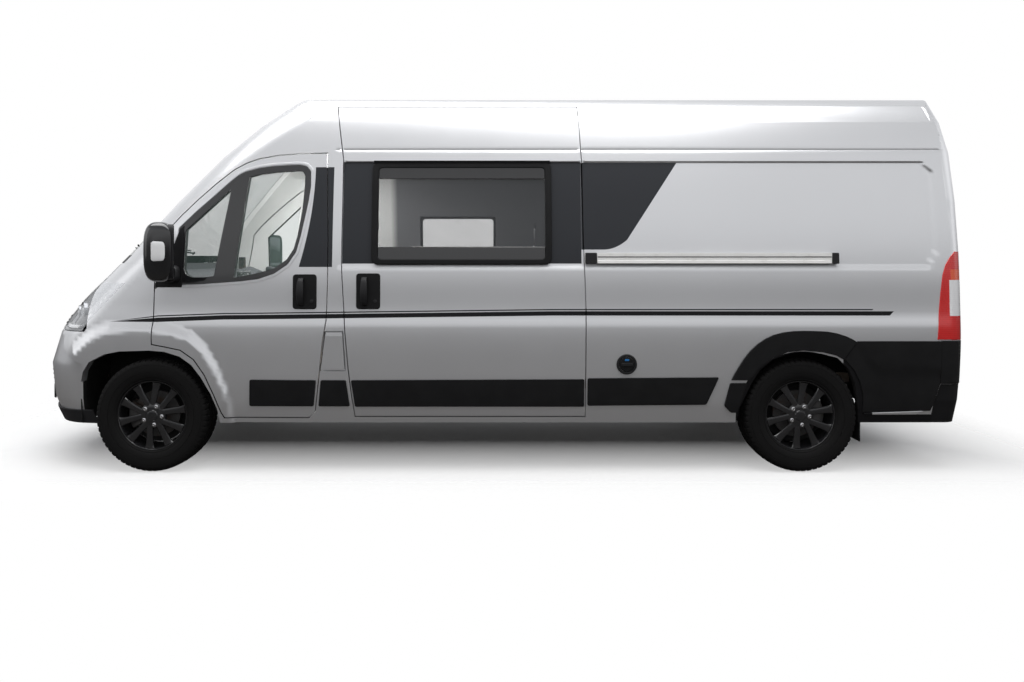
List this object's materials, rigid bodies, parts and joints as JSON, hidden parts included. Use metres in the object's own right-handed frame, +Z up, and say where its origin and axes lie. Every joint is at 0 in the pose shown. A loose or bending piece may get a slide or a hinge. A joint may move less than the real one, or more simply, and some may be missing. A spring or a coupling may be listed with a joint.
{
  "type": "camper van",
  "caption": "High-roof panel-van camper with hinged cab doors, rear doors and bonnet, fixed sliding-door panel, steered front wheels and a fitted interior.",
  "frame": {"origin": "on the ground under the middle of the vehicle's length and width", "axes": "-X forwards, +Z up, the side with the sliding door is -Y"},
  "size_m": [5.998, 2.4556, 2.425],
  "materials": {
    "silver_paint": "metallic lacquer",
    "black_plastic": "grained",
    "tinted_glass": "tinted",
    "smoked_acrylic": "smoked",
    "lamp_clear": "clear lens",
    "lamp_red": "lens",
    "tyre": "moulded",
    "alloy_black": "gloss black paint",
    "brake_iron": "machined",
    "chassis_steel": "painted black",
    "floor_board": "vinyl",
    "seat_fabric": "woven",
    "cabinet_wood": "laminate",
    "cab_plastic": "grained"
  },
  "bodies": {
    "van_body": {"bulkhead": "cab_plastic", "cab_seats": "seat_fabric", "cowl_panel": "black_plastic", "dashboard": "cab_plastic", "door_rail": "silver_paint", "engine_block": "brake_iron", "exhaust": "chassis_steel", "floor_pan": "floor_board", "front_bumper": "silver_paint", "front_subframe": "chassis_steel", "front_wing_left": "silver_paint", "front_wing_right": "silver_paint", "fuel_tank": "black_plastic", "furniture": "cabinet_wood", "grille": "black_plastic", "headlamps": "lamp_clear", "hinge_posts": "chassis_steel", "leaf_springs": "chassis_steel", "mattress": "seat_fabric", "rear_axle": "chassis_steel", "rear_bumper": "silver_paint", "roof": "silver_paint", "side_door": "silver_paint", "side_wall_left": "silver_paint", "side_wall_right": "silver_paint", "side_windows": "smoked_acrylic", "steering_column": "cab_plastic", "tail_lamps": "lamp_red", "wheel_houses": "black_plastic", "windscreen": "tinted_glass"},
    "bonnet": {"bonnet": "silver_paint"},
    "front_door_left": {"front_door_left": "silver_paint", "door_glass_left": "tinted_glass", "mirror_left": "black_plastic"},
    "front_door_right": {"front_door_right": "silver_paint", "door_glass_right": "tinted_glass", "mirror_right": "black_plastic"},
    "rear_door_left": {"rear_door_left": "silver_paint", "rear_glass_left": "tinted_glass"},
    "rear_door_right": {"rear_door_right": "silver_paint", "rear_glass_right": "tinted_glass"},
    "fuel_flap": {"fuel_flap": "silver_paint"},
    "knuckle_left": {"knuckle_left": "chassis_steel"},
    "knuckle_right": {"knuckle_right": "chassis_steel"},
    "steering_wheel": {"steering_wheel": "cab_plastic"},
    "wheel_front_left": {"tyre_front_left": "tyre", "rim_front_left": "alloy_black", "hub_front_left": "brake_iron"},
    "wheel_front_right": {"tyre_front_right": "tyre", "rim_front_right": "alloy_black", "hub_front_right": "brake_iron"},
    "wheel_rear_left": {"tyre_rear_left": "tyre", "rim_rear_left": "alloy_black", "hub_rear_left": "brake_iron"},
    "wheel_rear_right": {"tyre_rear_right": "tyre", "rim_rear_right": "alloy_black", "hub_rear_right": "brake_iron"}
  },
  "joints": [
    {"name": "bonnet_hinge", "type": "hinge", "parent": "van_body", "child": "bonnet", "pos_m": [-2.3, 0, 1.285], "axis": [0, 1, 0], "range_deg": [0, 50]},
    {"name": "front_door_left_hinge", "type": "hinge", "parent": "van_body", "child": "front_door_left", "pos_m": [-1.998, -0.97528, 0.85], "axis": [0, -0.0679, -0.9977], "range_deg": [0, 65]},
    {"name": "front_door_right_hinge", "type": "hinge", "parent": "van_body", "child": "front_door_right", "pos_m": [-1.998, 0.97528, 0.85], "axis": [0, -0.0679, 0.9977], "range_deg": [0, 65]},
    {"name": "rear_door_left_hinge", "type": "hinge", "parent": "van_body", "child": "rear_door_left", "pos_m": [2.987, -0.767, 0.76], "axis": [0, 0, -1], "range_deg": [0, 95]},
    {"name": "rear_door_right_hinge", "type": "hinge", "parent": "van_body", "child": "rear_door_right", "pos_m": [2.987, 0.767, 0.76], "axis": [0, 0, 1], "range_deg": [0, 95]},
    {"name": "fuel_flap_hinge", "type": "hinge", "parent": "van_body", "child": "fuel_flap", "pos_m": [-0.953, -1.01409, 0.757], "axis": [-0.1355, 0, -0.9908], "range_deg": [0, 90]},
    {"name": "steer_left", "type": "hinge", "parent": "van_body", "child": "knuckle_left", "pos_m": [-2.051, -0.817, 0.352], "axis": [0, 0, 1], "range_deg": [-35, 35]},
    {"name": "steer_right", "type": "hinge", "parent": "van_body", "child": "knuckle_right", "pos_m": [-2.051, 0.817, 0.352], "axis": [0, 0, 1], "range_deg": [-35, 35]},
    {"name": "steering_wheel_turn", "type": "hinge", "parent": "van_body", "child": "steering_wheel", "pos_m": [-1.56, 0.42, 1.16], "axis": [0.5, 0, 0.866], "range_deg": [-525, 525]},
    {"name": "front_left_spin", "type": "hinge", "parent": "knuckle_left", "child": "wheel_front_left", "pos_m": [-2.051, -0.892, 0.352], "axis": [0, 1, 0], "continuous": true},
    {"name": "front_right_spin", "type": "hinge", "parent": "knuckle_right", "child": "wheel_front_right", "pos_m": [-2.051, 0.892, 0.352], "axis": [0, 1, 0], "continuous": true},
    {"name": "rear_left_spin", "type": "hinge", "parent": "van_body", "child": "wheel_rear_left", "pos_m": [1.984, -0.895, 0.352], "axis": [0, 1, 0], "continuous": true},
    {"name": "rear_right_spin", "type": "hinge", "parent": "van_body", "child": "wheel_rear_right", "pos_m": [1.984, 0.895, 0.352], "axis": [0, 1, 0], "continuous": true}
  ],
  "couplings": [
    {"joint": "steer_right", "follows": "steer_left", "ratio": 1},
    {"joint": "steering_wheel_turn", "follows": "steer_left", "ratio": 15}
  ]
}
